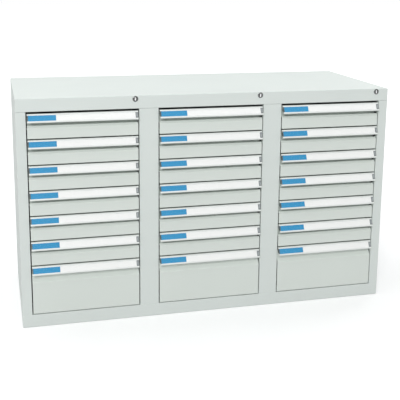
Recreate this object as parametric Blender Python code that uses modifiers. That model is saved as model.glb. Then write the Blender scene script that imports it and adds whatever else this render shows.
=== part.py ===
"""Industrial drawer cabinet: a steel carcass with three columns of seven locking drawers.

Metres, +Z up. The width runs along X, the fronts face -Y and the cabinet stands on Z = 0.
The origin is the middle of the footprint, handles included.
"""

import math

import bmesh
import bpy
from mathutils import Matrix, Vector

# Overall sizes
CABINET_WIDTH = 1.5
CABINET_DEPTH = 0.6
CABINET_HEIGHT = 0.9
COLUMNS = 3
SHALLOW_ROWS = 6
DEEP_UNITS = 2

# Front frame
TOP_RAIL_HEIGHT = 0.05
BOTTOM_RAIL_HEIGHT = 0.05
CENTRE_POST_WIDTH = 0.075
SIDE_POST_WIDTH = 0.0375
POST_RETURN = 0.02
RAIL_RETURN = 0.02
REAR_FLANGE = 0.02
CARCASS_SHEET = 0.0015
CARCASS_FOLD_RADIUS = 0.002
SEAT_GAP = 0.0003

# Drawer fronts and boxes; the groove's drops are measured from the front's upper edge
FRONT_GAP = 0.004
TOP_GAP = 0.007
FRONT_SIDE_GAP = 0.004
FRONT_FOLD_DEPTH = 0.015
DRAWER_SHEET = 0.0015
BOX_SIDE_GAP = 0.01
BOX_RISE = 0.006
BOX_TOP_DROP = 0.015
GROOVE_DEPTH = 0.009
GROOVE_DROPS = (0.014, 0.02, 0.042, 0.055)
BOX_BACK_GAP = 0.055

# Handle profile with its label face, measured from the top edge of the drawer front
HANDLE_HEIGHT = 0.031
HANDLE_REACH = 0.018
HANDLE_TOP_REACH = 0.004
HANDLE_WALL = 0.0025
HANDLE_FOOT_HEIGHT = 0.008
HANDLE_LIP = 0.003
HANDLE_CAP = 0.003

# Roller runners, measured from the edge of the opening into the pocket behind the posts
POCKET_DEPTH = 0.0135
RAIL_RISE = 0.022
RAIL_START = 0.05
RAIL_END_GAP = 0.04
RAIL_WALL = 0.0015
ROLLER_RADIUS = 0.008
ROLLER_PLAY = 0.001
ROLLER_AXLE_RADIUS = 0.003
FRONT_ROLLER_INSET = 0.06
REAR_ROLLER_FROM_BACK = 0.025
ROLLER_SIDE_PLAY = 0.001
RUNNER_FLANGE_INSET = 0.001

# Central locking
LOCK_FROM_EDGE = 0.015
LOCK_BELOW_TOP = 0.0125
LOCK_FLANGE_RADIUS = 0.011
LOCK_FLANGE_THICKNESS = 0.002
LOCK_BODY_RADIUS = 0.0085
LOCK_BODY_LENGTH = 0.022
LOCK_BORE_RADIUS = 0.0068
LOCK_NUT_RADIUS = 0.0102
LOCK_NUT_THICKNESS = 0.004
BARREL_RECESS = 0.0005
KEYWAY_WIDTH = 0.0014
KEYWAY_HEIGHT = 0.008
KEYWAY_DEPTH = 0.004
CAM_RADIUS = 0.01
CAM_HALF_WIDTH = 0.005
CAM_THICKNESS = 0.002
CAM_GAP = 0.0008
CAM_PIN_RADIUS = 0.002
CAM_PIN_LENGTH = 0.0105
BAR_SETBACK = 0.023
BAR_WIDTH = 0.012
BAR_THICKNESS = 0.003
BAR_FROM_EDGE = 0.004
BAR_FOOT_GAP = 0.014
BAR_TAB_REACH = 0.0055
BAR_TAB_HEIGHT = 0.008
BAR_TAB_LIFT = 0.0025
BAR_ARM_THICKNESS = 0.003
BAR_ARM_HALF_HEIGHT = 0.008
BAR_SLOT_PLAY = 0.0003
BAR_GUIDE_HEIGHT = 0.02
BAR_GUIDE_WALL = 0.002
CATCH_RISE = 0.014
CATCH_HEIGHT = 0.008
CATCH_DEPTH = 0.008
CATCH_GAP = 0.003
CATCH_INSET = 0.002

# How far cutters and fused pieces run into each other
OVERRUN = 0.001
FUSE = 0.0005
WELD = 1e-6
ROUND_SIDES = 10
AXLE_SIDES = 6
LOCK_SIDES = 16
SMOOTH_ANGLE = math.radians(40)

# Share of the bar's height at which each guide sits, and how far sin runs ahead of a straight ramp
GUIDE_HEIGHT_SHARES = (0.13, 0.94)
SINE_LEAD_SHARE = 0.2105

# Places worked out from the sizes above
front_y = (HANDLE_REACH - CABINET_DEPTH) / 2
back_y = front_y + CABINET_DEPTH
half_width = CABINET_WIDTH / 2
opening_top = CABINET_HEIGHT - TOP_RAIL_HEIGHT
opening_bottom = BOTTOM_RAIL_HEIGHT
opening_width = (CABINET_WIDTH - 2 * SIDE_POST_WIDTH - (COLUMNS - 1) * CENTRE_POST_WIDTH) / COLUMNS
column_pitch = opening_width + CENTRE_POST_WIDTH
half_opening = opening_width / 2
box_length = CABINET_DEPTH - BOX_BACK_GAP
rear_roller_y = box_length - REAR_ROLLER_FROM_BACK
row_pitch = (opening_top - opening_bottom - TOP_GAP) / (SHALLOW_ROWS + DEEP_UNITS)
shallow_front = row_pitch - FRONT_GAP
deep_front = DEEP_UNITS * row_pitch - FRONT_GAP
front_half_width = half_opening - FRONT_SIDE_GAP
box_half_width = half_opening - BOX_SIDE_GAP
back_inner_y = back_y - 2 * CARCASS_SHEET - 2 * SEAT_GAP
post_back_y = front_y + POST_RETURN
panel_low = opening_bottom + SEAT_GAP
panel_high = opening_top - SEAT_GAP
rail_end_y = CABINET_DEPTH - RAIL_END_GAP
flange_rise = RAIL_RISE + ROLLER_RADIUS + SEAT_GAP
lock_z = CABINET_HEIGHT - LOCK_BELOW_TOP
lock_x = half_opening - LOCK_FROM_EDGE
cam_y = LOCK_BODY_LENGTH + CAM_GAP
bar_x = half_opening + BAR_FROM_EDGE

COLOURS = {
    "cabinet_paint": ((0.70, 0.73, 0.71), 0.42, 0.0),
    "drawer_paint": ((0.68, 0.72, 0.69), 0.42, 0.0),
    "handle_plastic": ((0.90, 0.91, 0.90), 0.35, 0.0),
    "runner_zinc": ((0.60, 0.61, 0.62), 0.35, 1.0),
    "lock_metal": ((0.30, 0.31, 0.31), 0.30, 1.0),
    "bar_zinc": ((0.56, 0.57, 0.58), 0.40, 1.0),
}


def column_x(column):
    """Centre of a column's opening; column 1 is on the left."""
    return (column - (COLUMNS + 1) / 2) * column_pitch


def row_bottom(row):
    """Lower edge of a drawer's front; row 1 is at the top, the deep drawer last."""
    top = opening_top - TOP_GAP - (row - 1) * row_pitch
    return top - (deep_front if row > SHALLOW_ROWS else shallow_front)


def rail_centre(row):
    """Height of the roller track that carries a row."""
    return row_bottom(row) + BOX_RISE + RAIL_RISE


ROWS = range(1, SHALLOW_ROWS + 2)


def clear_scene():
    for obj in list(bpy.data.objects):
        bpy.data.objects.remove(obj)


def make_collection(name):
    collection = bpy.data.collections.new(name)
    bpy.context.scene.collection.children.link(collection)
    return collection


def make_material(slot):
    colour, roughness, metallic = COLOURS[slot]
    material = bpy.data.materials.new(slot)
    material.use_nodes = True
    shader = material.node_tree.nodes["Principled BSDF"]
    shader.inputs["Base Color"].default_value = (*colour, 1.0)
    shader.inputs["Roughness"].default_value = roughness
    shader.inputs["Metallic"].default_value = metallic
    material.diffuse_color = (*colour, 1.0)
    return material


def shape_from(build):
    """A working object whose mesh build(bm) fills."""
    mesh = bpy.data.meshes.new("shape")
    bm = bmesh.new()
    build(bm)
    bm.to_mesh(mesh)
    bm.free()
    shape = bpy.data.objects.new("shape", mesh)
    cutters.objects.link(shape)
    return shape


def box_matrix(low, high):
    low, high = Vector(low), Vector(high)
    return Matrix.Translation((low + high) / 2) @ Matrix.Diagonal((*(high - low), 1))


def box(low, high):
    return shape_from(lambda bm: bmesh.ops.create_cube(bm, size=1, matrix=box_matrix(low, high)))


def rod(start, end, radius, sides=ROUND_SIDES):
    """A cylinder between two points."""
    start, end = Vector(start), Vector(end)
    along = end - start
    turn = along.to_track_quat("Z", "Y").to_matrix().to_4x4()

    def build(bm):
        bmesh.ops.create_cone(
            bm,
            cap_ends=True,
            segments=sides,
            radius1=radius,
            radius2=radius,
            depth=along.length,
            matrix=Matrix.Translation((start + end) / 2) @ turn,
        )

    return shape_from(build)


def thicken(shape, wall, fold_radius=0):
    """Gives an open surface its sheet thickness, on its inner side, with rounded folds."""
    if fold_radius:
        folds = shape.modifiers.new("folds", "BEVEL")
        folds.width = fold_radius
        folds.segments = 2
        folds.limit_method = "ANGLE"
    sheet = shape.modifiers.new("sheet", "SOLIDIFY")
    sheet.thickness = wall
    sheet.offset = -1
    sheet.use_even_offset = True
    return bake(shape)


def open_box(low, high, open_normal, wall, lip=0, fold_radius=0):
    """A folded tray or pan: a box without the side that open_normal names, or with a lip round it."""
    open_normal = Vector(open_normal)

    def build(bm):
        bmesh.ops.create_cube(bm, size=1, matrix=box_matrix(low, high))
        bm.normal_update()
        removed = max(bm.faces, key=lambda face: face.normal.dot(open_normal))
        if lip:
            bmesh.ops.inset_individual(bm, faces=[removed], thickness=lip, use_even_offset=True)
        bmesh.ops.delete(bm, geom=[removed], context="FACES")

    return thicken(shape_from(build), wall, fold_radius)


def folded_sheet(path, low, high, wall, fold_radius=0):
    """A sheet folded along Z: the path is its outer line in plan, with the inside on its left."""

    def build(bm):
        corners = [bm.verts.new((x, y, low)) for x, y in path]
        edges = [bm.edges.new(pair) for pair in zip(corners, corners[1:])]
        raised = bmesh.ops.extrude_edge_only(bm, edges=edges)["geom"]
        up = [item for item in raised if isinstance(item, bmesh.types.BMVert)]
        bmesh.ops.translate(bm, vec=(0, 0, high - low), verts=up)
        bmesh.ops.recalc_face_normals(bm, faces=bm.faces)
        bm.normal_update()
        first = next(iter(edges[0].link_faces))
        (x0, y0), (x1, y1) = path[0], path[1]
        if first.normal.dot(Vector((y1 - y0, x0 - x1, 0))) < 0:
            bmesh.ops.reverse_faces(bm, faces=bm.faces)

    return thicken(shape_from(build), wall, fold_radius)


def extruded_outline(points, low_x, high_x):
    """A flat outline of (y, z) points, run along X."""
    curve = bpy.data.curves.new("outline", "CURVE")
    curve.dimensions = "2D"
    curve.fill_mode = "BOTH"
    curve.extrude = (high_x - low_x) / 2
    spline = curve.splines.new("POLY")
    spline.points.add(len(points) - 1)
    for point, (y, z) in zip(spline.points, points):
        point.co = (y, z, 0, 1)
    spline.use_cyclic_u = True
    drawn = bpy.data.objects.new("outline", curve)
    cutters.objects.link(drawn)
    bpy.context.view_layer.update()
    mesh = bpy.data.meshes.new_from_object(drawn.evaluated_get(bpy.context.evaluated_depsgraph_get()))
    bpy.data.objects.remove(drawn)
    turn = Matrix(((0, 0, 1), (1, 0, 0), (0, 1, 0))).to_4x4()
    mesh.transform(Matrix.Translation(((low_x + high_x) / 2, 0, 0)) @ turn)

    def build(bm):
        bm.from_mesh(mesh)
        bmesh.ops.remove_doubles(bm, verts=bm.verts, dist=WELD)
        bmesh.ops.recalc_face_normals(bm, faces=bm.faces)

    shape = shape_from(build)
    bpy.data.meshes.remove(mesh)
    return shape


def bake(shape):
    """Applies the shape's modifiers to its mesh."""
    bpy.context.view_layer.update()
    graph = bpy.context.evaluated_depsgraph_get()
    baked = bpy.data.meshes.new_from_object(shape.evaluated_get(graph))
    old = shape.data
    shape.modifiers.clear()
    shape.data = baked
    bpy.data.meshes.remove(old)
    return shape


def combine(base, others, operation):
    """Joins or cuts all the other shapes in one exact Boolean."""
    operands = bpy.data.collections.new("operands")
    cutters.children.link(operands)
    for other in others:
        cutters.objects.unlink(other)
        operands.objects.link(other)
    modifier = base.modifiers.new(operation.lower(), "BOOLEAN")
    modifier.operation = operation
    modifier.operand_type = "COLLECTION"
    modifier.collection = operands
    bake(base)
    for other in others:
        bpy.data.objects.remove(other)
    bpy.data.collections.remove(operands)
    return base


def fused(base, *others):
    return combine(base, others, "UNION")


def cut(base, *others):
    return combine(base, others, "DIFFERENCE")


def as_mesh(shape, name, slot, round_angle=None):
    """The finished mesh of a working shape, with its material."""
    mesh = shape.data
    mesh.name = name
    mesh.materials.clear()
    mesh.materials.append(materials[slot])
    if round_angle is not None:
        mesh.shade_smooth()
        mesh.set_sharp_from_angle(angle=round_angle)
    bpy.data.objects.remove(shape)
    return mesh


def place(name, mesh, location, parent=None):
    node = bpy.data.objects.new(name, mesh)
    node.location = location
    if parent:
        node.parent = parent
        node.matrix_parent_inverse = Matrix.Translation(parent.location).inverted()
    parts.objects.link(node)
    return node


def base_pan_mesh():
    """Folded floor pan; its front skirt is the bottom rail."""
    shape = open_box(
        (-half_width, front_y, 0),
        (half_width, back_y, opening_bottom),
        (0, 0, -1),
        CARCASS_SHEET,
        lip=RAIL_RETURN,
        fold_radius=CARCASS_FOLD_RADIUS,
    )
    return as_mesh(shape, "base_pan", "cabinet_paint")


def top_cover_mesh():
    """Folded top; its front skirt is the top rail, which the lock holes go through."""
    shape = open_box(
        (-half_width, front_y, opening_top),
        (half_width, back_y, CABINET_HEIGHT),
        (0, 0, -1),
        CARCASS_SHEET,
        lip=RAIL_RETURN,
        fold_radius=CARCASS_FOLD_RADIUS,
    )
    return as_mesh(shape, "top_cover", "cabinet_paint")


def add_lock_holes(top_cover):
    """One hole for each column's lock, kept as a live Boolean with its cutter."""
    for column in range(1, COLUMNS + 1):
        x = column_x(column) + lock_x
        cutter = rod(
            (x, front_y - OVERRUN, lock_z),
            (x, front_y + CARCASS_SHEET + OVERRUN, lock_z),
            LOCK_BODY_RADIUS + SEAT_GAP,
            LOCK_SIDES,
        )
        cutter.name = f"lock_hole_{column}"
        cutter.hide_render = True
        cutter.display_type = "WIRE"
        hole = top_cover.modifiers.new(cutter.name, "BOOLEAN")
        hole.operation = "DIFFERENCE"
        hole.object = cutter


def side_panel_mesh(side):
    """Side panel with its folded front post and a rear flange; side is -1 on the left."""
    outer = side * half_width
    inner = side * (half_width - SIDE_POST_WIDTH)
    path = [
        (side * (half_width - REAR_FLANGE), back_y),
        (outer, back_y),
        (outer, front_y),
        (inner, front_y),
        (inner, post_back_y),
    ]
    if side > 0:
        path.reverse()
    shape = folded_sheet(path, panel_low, panel_high, CARCASS_SHEET, CARCASS_FOLD_RADIUS)
    return as_mesh(shape, "side_panel", "cabinet_paint")


def back_panel_mesh():
    edge = half_width - CARCASS_SHEET - SEAT_GAP
    outer_y = back_y - CARCASS_SHEET - SEAT_GAP
    shape = box((-edge, outer_y - CARCASS_SHEET, panel_low), (edge, outer_y, panel_high))
    return as_mesh(shape, "back_panel", "cabinet_paint")


def runner_rails(edge_x, towards):
    """The C rails and front rollers of one side of a column, as shapes to fuse to their wall.

    edge_x is the edge of the opening, and towards is +1 where the opening lies at larger x.
    """
    wall_x = edge_x - towards * POCKET_DEPTH
    mouth_x = edge_x - towards * ROLLER_SIDE_PLAY
    shapes = []
    for row in ROWS:
        z = rail_centre(row)
        low = z - ROLLER_RADIUS - SEAT_GAP
        high = z + ROLLER_RADIUS + ROLLER_PLAY
        for bottom, top in ((low - RAIL_WALL, low), (high, high + RAIL_WALL)):
            shapes.append(
                spanning_box(
                    (wall_x - towards * FUSE, front_y + RAIL_START, bottom),
                    (mouth_x, front_y + rail_end_y, top),
                )
            )
        axle_y = front_y + FRONT_ROLLER_INSET
        inner_x = edge_x + towards * (BOX_SIDE_GAP - DRAWER_SHEET - ROLLER_SIDE_PLAY)
        shapes.append(rod((mouth_x, axle_y, z), (inner_x, axle_y, z), ROLLER_RADIUS))
        shapes.append(
            rod(
                (wall_x - towards * FUSE, axle_y, z),
                (mouth_x + towards * FUSE, axle_y, z),
                ROLLER_AXLE_RADIUS,
                AXLE_SIDES,
            )
        )
    return shapes


def spanning_box(first, second):
    """A box between two opposite corners given in any order."""
    low = [min(pair) for pair in zip(first, second)]
    high = [max(pair) for pair in zip(first, second)]
    return box(low, high)


def bar_guides(edge_x, wall_x):
    """U-shaped guides on the wall that keep a locking bar upright."""
    bar_back = front_y + BAR_SETBACK + BAR_WIDTH
    bar_front = front_y + BAR_SETBACK
    pad_x = edge_x + BAR_FROM_EDGE + BAR_THICKNESS + SEAT_GAP
    cheek_x = edge_x + BAR_FROM_EDGE
    shapes = []
    for share in GUIDE_HEIGHT_SHARES:
        low = opening_bottom + share * (opening_top - opening_bottom)
        high = low + BAR_GUIDE_HEIGHT
        front_face = bar_front - SEAT_GAP
        back_face = bar_back + SEAT_GAP
        pad = box(
            (pad_x, front_face - BAR_GUIDE_WALL, low),
            (wall_x + FUSE, back_face + BAR_GUIDE_WALL, high),
        )
        front_cheek = box((cheek_x, front_face - BAR_GUIDE_WALL, low), (pad_x + FUSE, front_face, high))
        back_cheek = box((cheek_x, back_face, low), (pad_x + FUSE, back_face + BAR_GUIDE_WALL, high))
        shapes += [pad, front_cheek, back_cheek]
    return shapes


def divider_mesh():
    """Centre post and partition in one, with runner rails on both faces, around x = 0."""
    face = CENTRE_POST_WIDTH / 2
    wall = face - POCKET_DEPTH
    path = (
        (-wall, back_inner_y),
        (-wall, post_back_y),
        (-face, post_back_y),
        (-face, front_y),
        (face, front_y),
        (face, post_back_y),
        (wall, post_back_y),
        (wall, back_inner_y),
    )
    shape = folded_sheet(path, panel_low, panel_high, CARCASS_SHEET)
    rails = runner_rails(-face, -1) + runner_rails(face, 1)
    fused(shape, *rails, *bar_guides(-face, -wall))
    return as_mesh(shape, "divider", "cabinet_paint", SMOOTH_ANGLE)


def runner_rack_mesh(side):
    """Lining inside a side panel that carries the outer runner rails; side is -1 on the left."""
    edge = side * (half_width - SIDE_POST_WIDTH)
    wall = edge + side * POCKET_DEPTH
    foot = side * (half_width - CARCASS_SHEET - SEAT_GAP)
    start_y = post_back_y + SEAT_GAP
    path = [(foot, start_y), (wall, start_y), (wall, back_inner_y), (foot, back_inner_y)]
    if side > 0:
        path.reverse()
    shape = folded_sheet(path, panel_low, panel_high, CARCASS_SHEET)
    fused(shape, *runner_rails(edge, -side))
    if side > 0:
        fused(shape, *bar_guides(edge, wall))
    return as_mesh(shape, "runner_rack", "runner_zinc", SMOOTH_ANGLE)


def drawer_front(front_height, grooved):
    """Front tray folded back on all four sides, with a finger groove pressed in behind the handle."""

    def build(bm):
        low, high = (-front_half_width, 0, 0), (front_half_width, FRONT_FOLD_DEPTH, front_height)
        bmesh.ops.create_cube(bm, size=1, matrix=box_matrix(low, high))
        bm.normal_update()
        back = max(bm.faces, key=lambda face: face.normal.y)
        bmesh.ops.delete(bm, geom=[back], context="FACES")
        if not grooved:
            return
        heights = [front_height - drop for drop in GROOVE_DROPS]
        for height in heights:
            geometry = bm.verts[:] + bm.edges[:] + bm.faces[:]
            bmesh.ops.bisect_plane(bm, geom=geometry, plane_co=(0, 0, height), plane_no=(0, 0, 1))
        floor_high, floor_low = heights[1], heights[2]
        for vert in bm.verts:
            if vert.co.y < FUSE and floor_low - FUSE < vert.co.z < floor_high + FUSE:
                vert.co.y += GROOVE_DEPTH
        bm.normal_update()

    return thicken(shape_from(build), DRAWER_SHEET)


def drawer_mesh(front_height, grooved, name):
    """Drawer box with its folded front, runner flanges, rear rollers and lock catch.

    The origin is the middle of the front's lower edge, on its outer face.
    """
    box_top = front_height - BOX_TOP_DROP
    shape = open_box(
        (-box_half_width, GROOVE_DEPTH + FUSE if grooved else 0, BOX_RISE),
        (box_half_width, box_length, box_top),
        (0, 0, 1),
        DRAWER_SHEET,
    )
    front = drawer_front(front_height, grooved)
    z = BOX_RISE + RAIL_RISE
    flange_low = BOX_RISE + flange_rise
    extras = [front]
    for side in (-1, 1):
        wall = side * (box_half_width - FUSE)
        leaf = side * (box_half_width + DRAWER_SHEET)
        flange_edge = side * (half_opening - RUNNER_FLANGE_INSET)
        extras.append(
            spanning_box(
                (wall, FRONT_FOLD_DEPTH + CATCH_INSET, z - ROLLER_RADIUS),
                (leaf, box_length - DRAWER_SHEET, flange_low + DRAWER_SHEET),
            )
        )
        extras.append(
            spanning_box(
                (wall, FRONT_FOLD_DEPTH + CATCH_INSET, flange_low),
                (flange_edge, box_length - DRAWER_SHEET, flange_low + DRAWER_SHEET),
            )
        )
        roller_in = Vector((side * (half_opening + ROLLER_SIDE_PLAY + FUSE), rear_roller_y, z))
        roller_out = Vector((side * (half_opening + POCKET_DEPTH - 2 * RAIL_WALL), rear_roller_y, z))
        axle_end = roller_in + Vector((side * FUSE, 0, 0))
        extras.append(rod((wall, rear_roller_y, z), axle_end, ROLLER_AXLE_RADIUS, AXLE_SIDES))
        extras.append(rod(roller_in, roller_out, ROLLER_RADIUS))
    catch_y = BAR_SETBACK + BAR_WIDTH + CATCH_GAP
    catch_low = z + CATCH_RISE
    extras.append(
        box(
            (box_half_width - FUSE, catch_y, catch_low),
            (half_opening - CATCH_INSET, catch_y + CATCH_DEPTH, catch_low + CATCH_HEIGHT),
        )
    )
    fused(shape, *extras)
    return as_mesh(shape, name, "drawer_paint", SMOOTH_ANGLE)


def handle_mesh():
    """Full-width pull: a slanted label face over a finger gap, with a foot on the drawer front.

    The origin is the middle of the front's upper edge, on its outer face.
    """
    slope = (HANDLE_REACH - HANDLE_TOP_REACH) / (HANDLE_HEIGHT - HANDLE_LIP)
    foot_y = -SEAT_GAP
    inner_top = -HANDLE_WALL
    inner_y = foot_y - HANDLE_WALL
    points = (
        (foot_y, 0),
        (-HANDLE_TOP_REACH, 0),
        (-HANDLE_REACH, -(HANDLE_HEIGHT - HANDLE_LIP)),
        (-HANDLE_REACH, -HANDLE_HEIGHT),
        (-HANDLE_REACH + HANDLE_WALL, -HANDLE_HEIGHT),
        (-HANDLE_REACH + HANDLE_WALL, -(HANDLE_HEIGHT - HANDLE_LIP)),
        (inner_y - slope * HANDLE_WALL, inner_top - HANDLE_FOOT_HEIGHT / 2),
        (inner_y, -HANDLE_FOOT_HEIGHT),
        (foot_y, -HANDLE_FOOT_HEIGHT),
    )
    cap = (
        (foot_y, 0),
        (-HANDLE_TOP_REACH, 0),
        (-HANDLE_REACH, -(HANDLE_HEIGHT - HANDLE_LIP)),
        (-HANDLE_REACH, -HANDLE_HEIGHT),
        (foot_y, -HANDLE_HEIGHT),
    )
    shape = extruded_outline(points, -front_half_width + FUSE, front_half_width - FUSE)
    left = extruded_outline(cap, -front_half_width, -front_half_width + HANDLE_CAP)
    right = extruded_outline(cap, front_half_width - HANDLE_CAP, front_half_width)
    fused(shape, left, right)
    return as_mesh(shape, "handle", "handle_plastic")


def lock_housing_mesh():
    """Fixed lock cylinder with its front flange and clamping nut, around its own axis."""
    flange_y = -SEAT_GAP
    flange = rod((0, flange_y - LOCK_FLANGE_THICKNESS, 0), (0, flange_y, 0), LOCK_FLANGE_RADIUS, LOCK_SIDES)
    body = rod((0, flange_y - FUSE, 0), (0, LOCK_BODY_LENGTH, 0), LOCK_BODY_RADIUS, LOCK_SIDES)
    nut_y = CARCASS_SHEET + SEAT_GAP
    nut = rod((0, nut_y, 0), (0, nut_y + LOCK_NUT_THICKNESS, 0), LOCK_NUT_RADIUS, LOCK_SIDES)
    fused(flange, body, nut)
    bore = rod(
        (0, flange_y - LOCK_FLANGE_THICKNESS - OVERRUN, 0),
        (0, LOCK_BODY_LENGTH + OVERRUN, 0),
        LOCK_BORE_RADIUS,
        LOCK_SIDES,
    )
    cut(flange, bore)
    return as_mesh(flange, "lock_housing", "lock_metal", SMOOTH_ANGLE)


def lock_barrel_mesh():
    """Turning core with its keyway, cam and cam pin; the pin points to +X at rest."""
    face_y = -SEAT_GAP - LOCK_FLANGE_THICKNESS + BARREL_RECESS
    core = rod((0, face_y, 0), (0, cam_y + FUSE, 0), LOCK_BORE_RADIUS - SEAT_GAP, LOCK_SIDES)
    cam = box(
        (-CAM_HALF_WIDTH, cam_y, -CAM_HALF_WIDTH),
        (CAM_RADIUS + CAM_PIN_RADIUS + FUSE, cam_y + CAM_THICKNESS, CAM_HALF_WIDTH),
    )
    pin_start = cam_y + CAM_THICKNESS - FUSE
    pin = rod((CAM_RADIUS, pin_start, 0), (CAM_RADIUS, pin_start + CAM_PIN_LENGTH, 0), CAM_PIN_RADIUS)
    fused(core, cam, pin)
    keyway = box(
        (-KEYWAY_WIDTH / 2, face_y - OVERRUN, -KEYWAY_HEIGHT / 2),
        (KEYWAY_WIDTH / 2, face_y + KEYWAY_DEPTH, KEYWAY_HEIGHT / 2),
    )
    cut(core, keyway)
    return as_mesh(core, "lock_barrel", "lock_metal", SMOOTH_ANGLE)


def lock_bar_mesh():
    """Upright bar with one tab above each drawer's catch and a slotted arm on the cam pin.

    The origin is the lock's axis, at the front of the cabinet.
    """
    bar_low = opening_bottom + BAR_FOOT_GAP - lock_z
    bar_near = bar_x - lock_x
    bar_far = bar_near + BAR_THICKNESS
    bar_front = BAR_SETBACK
    bar_back = BAR_SETBACK + BAR_WIDTH
    shape = box((bar_near, bar_front, bar_low), (bar_far, bar_back, BAR_ARM_HALF_HEIGHT))
    extras = []
    for row in ROWS:
        catch_top = rail_centre(row) + CATCH_RISE + CATCH_HEIGHT - lock_z
        tab_low = catch_top + BAR_TAB_LIFT
        extras.append(
            box(
                (half_opening - BAR_TAB_REACH - lock_x, bar_front, tab_low),
                (bar_near + FUSE, bar_back, tab_low + BAR_TAB_HEIGHT),
            )
        )
    pin_reach = CAM_RADIUS + CAM_PIN_RADIUS + BAR_SLOT_PLAY
    pin_side = CAM_PIN_RADIUS + BAR_SLOT_PLAY
    arm_end = -pin_side - BAR_ARM_THICKNESS
    arm_y = bar_back - BAR_ARM_THICKNESS
    extras.append(
        box((arm_end, arm_y, -BAR_ARM_HALF_HEIGHT), (bar_near + FUSE, bar_back, BAR_ARM_HALF_HEIGHT))
    )
    fused(shape, *extras)
    slot = box(
        (-pin_side, arm_y - OVERRUN, -pin_side - SINE_LEAD_SHARE * CAM_RADIUS),
        (pin_reach, bar_back + OVERRUN, pin_side),
    )
    cut(shape, slot)
    return as_mesh(shape, "lock_bar", "bar_zinc")


def build_carcass():
    place("base_pan", base_pan_mesh(), (0, 0, 0))
    top_cover = place("top_cover", top_cover_mesh(), (0, 0, 0))
    add_lock_holes(top_cover)
    place("side_left", side_panel_mesh(-1), (0, 0, 0))
    place("side_right", side_panel_mesh(1), (0, 0, 0))
    place("back_panel", back_panel_mesh(), (0, 0, 0))
    divider = divider_mesh()
    for gap in range(1, COLUMNS):
        middle = (column_x(gap) + column_x(gap + 1)) / 2
        place(f"divider_{gap}", divider, (middle, 0, 0))
    place("runner_rack_left", runner_rack_mesh(-1), (0, 0, 0))
    place("runner_rack_right", runner_rack_mesh(1), (0, 0, 0))


def build_drawers():
    shallow = drawer_mesh(shallow_front, True, "drawer_shallow")
    deep = drawer_mesh(deep_front, False, "drawer_deep")
    handle = handle_mesh()
    for column in range(1, COLUMNS + 1):
        for row in ROWS:
            is_deep = row > SHALLOW_ROWS
            bottom = Vector((column_x(column), front_y, row_bottom(row)))
            top = bottom + Vector((0, 0, deep_front if is_deep else shallow_front))
            drawer = place(f"drawer_{column}_{row}", deep if is_deep else shallow, bottom)
            place(f"handle_{column}_{row}", handle, top, drawer)


def build_locks():
    housing = lock_housing_mesh()
    barrel = lock_barrel_mesh()
    bar = lock_bar_mesh()
    for column in range(1, COLUMNS + 1):
        axis = (column_x(column) + lock_x, front_y, lock_z)
        place(f"lock_housing_{column}", housing, axis)
        place(f"lock_barrel_{column}", barrel, axis)
        place(f"lock_bar_{column}", bar, axis)


clear_scene()
parts = make_collection("industrial_drawer_cabinet")
cutters = make_collection("cutters")
materials = {slot: make_material(slot) for slot in COLOURS}
build_carcass()
build_drawers()
build_locks()
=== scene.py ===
"""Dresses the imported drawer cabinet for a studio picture, in metres, in the CAD frame.

Each drawer type and the handle are built once around their own datum and then set in every
column and row. What repeats along a line, such as rails, rivets and slots, comes from
geometry nodes.
"""

import math

import bmesh
import bpy
from mathutils import Matrix, Vector


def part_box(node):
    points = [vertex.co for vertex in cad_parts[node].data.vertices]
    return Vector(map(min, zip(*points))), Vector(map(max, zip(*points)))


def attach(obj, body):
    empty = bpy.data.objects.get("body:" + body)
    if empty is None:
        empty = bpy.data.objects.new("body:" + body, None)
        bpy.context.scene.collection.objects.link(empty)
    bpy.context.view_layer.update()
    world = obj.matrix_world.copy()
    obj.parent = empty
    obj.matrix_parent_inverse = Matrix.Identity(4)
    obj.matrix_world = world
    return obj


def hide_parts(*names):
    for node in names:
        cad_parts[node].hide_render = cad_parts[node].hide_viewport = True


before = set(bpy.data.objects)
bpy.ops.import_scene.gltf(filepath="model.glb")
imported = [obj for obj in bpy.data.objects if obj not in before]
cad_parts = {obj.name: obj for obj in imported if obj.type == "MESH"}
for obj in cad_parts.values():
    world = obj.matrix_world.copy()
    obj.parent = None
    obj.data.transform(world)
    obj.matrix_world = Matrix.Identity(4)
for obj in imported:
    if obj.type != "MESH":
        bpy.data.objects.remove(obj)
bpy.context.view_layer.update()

# Sizes that the CAD boxes don't give
COLUMNS = (1, 2, 3)
ROWS = (1, 2, 3, 4, 5, 6, 7)
DEEP_ROW = 7

# The deep row is two steps high, so one step of the row pattern stays empty
SKIPPED_STEP = 6

# Sheets and how they are cut and shaded
SHEET = 0.0015
SEAT_GAP = 0.0003
FOLD = 0.0015
POST_FOLD = 0.001
RACK_FOLD = 0.0018
LIP = 0.02
CUT_OVERRUN = 0.02
EDGE_WIDTH = 0.0013
SHARP_ANGLE = math.radians(38)
FINE_SIDES = 48
AXLE_SIDES = 20

# Back panel; a rivet's size is (radius, height)
BACK_FIELD_HALF = 0.2
BACK_FIELD_EDGE = 0.045
BACK_FIELD_DEPTH = 0.005
BACK_FIELD_SLOPE = 0.014
BACK_FIELD_ROUND = 0.006
BACK_RIVETS = 9
BACK_RIVET_INSET = 0.03
BACK_RIVET_FROM_WALL = 0.006
BACK_RIVET_SIZE = (0.0038, 0.0011)
REAR_FLANGE = 0.02

# Posts and drawer fronts
POST_RETURN = 0.02
POCKET = 0.0135
FRONT_SIDE_GAP = 0.004
FRONT_FOLD = 0.0055
FRONT_EDGE = 0.0009
FRONT_TOP_DROP = 0.0008
RECESS = ((0.0, 0.012), (0.03, 0.016), (0.03, 0.055), (0.009, 0.046), (0.0, 0.0555))
DEEP_ROW_RECESS = ((0.0, 0.014), (0.015, 0.02), (0.015, 0.05), (0.0, 0.066))

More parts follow.
